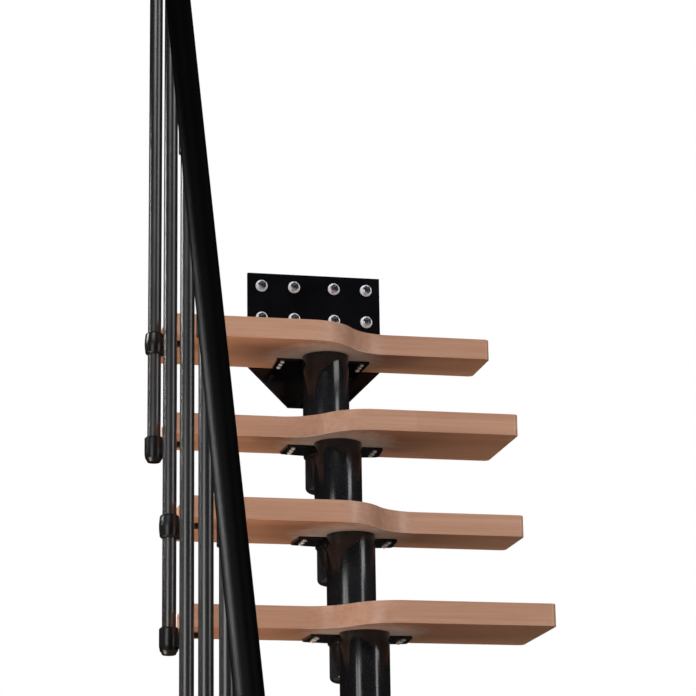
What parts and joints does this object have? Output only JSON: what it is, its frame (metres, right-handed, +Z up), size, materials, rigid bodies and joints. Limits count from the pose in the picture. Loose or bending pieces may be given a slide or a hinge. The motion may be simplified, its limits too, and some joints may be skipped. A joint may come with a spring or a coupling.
{
  "type": "modular space-saver stair",
  "caption": "Straight modular space-saver stair: alternating paddle treads on telescoping tube supports, with a wall bracket and a baluster rail along the left side.",
  "frame": {"origin": "centre of the floor flange's underside, on the axis of the lowest support tube", "axes": "+Z up, +Y the way up the flight towards the wall, +X to the right of someone going up"},
  "size_m": [0.68, 1.327, 3.6294],
  "materials": {
    "beech_tread": "satin lacquer",
    "black_steel": "semi-gloss powder coat",
    "baluster_steel": "satin powder coat",
    "black_plastic": "satin",
    "handrail_plastic": "satin"
  },
  "bodies": {
    "root": {"tread_01": "beech_tread", "tread_02": "beech_tread", "tread_03": "beech_tread", "tread_04": "beech_tread", "tread_05": "beech_tread", "tread_06": "beech_tread", "tread_07": "beech_tread", "tread_08": "beech_tread", "tread_09": "beech_tread", "tread_10": "beech_tread", "tread_11": "beech_tread", "tread_12": "beech_tread", "support_01": "black_steel", "support_02": "black_steel", "support_03": "black_steel", "support_04": "black_steel", "support_05": "black_steel", "support_06": "black_steel", "support_07": "black_steel", "support_08": "black_steel", "support_09": "black_steel", "support_10": "black_steel", "support_11": "black_steel", "support_12": "black_steel", "floor_flange": "black_steel", "wall_bracket": "black_steel", "baluster_1": "baluster_steel", "baluster_2": "baluster_steel", "baluster_3": "baluster_steel", "baluster_4": "baluster_steel", "baluster_5": "baluster_steel", "baluster_6": "baluster_steel", "ring_clamps": "black_plastic", "baluster_feet": "black_plastic", "rail_saddles": "black_plastic", "handrail": "handrail_plastic", "handrail_caps": "handrail_plastic"}
  },
  "joints": []
}
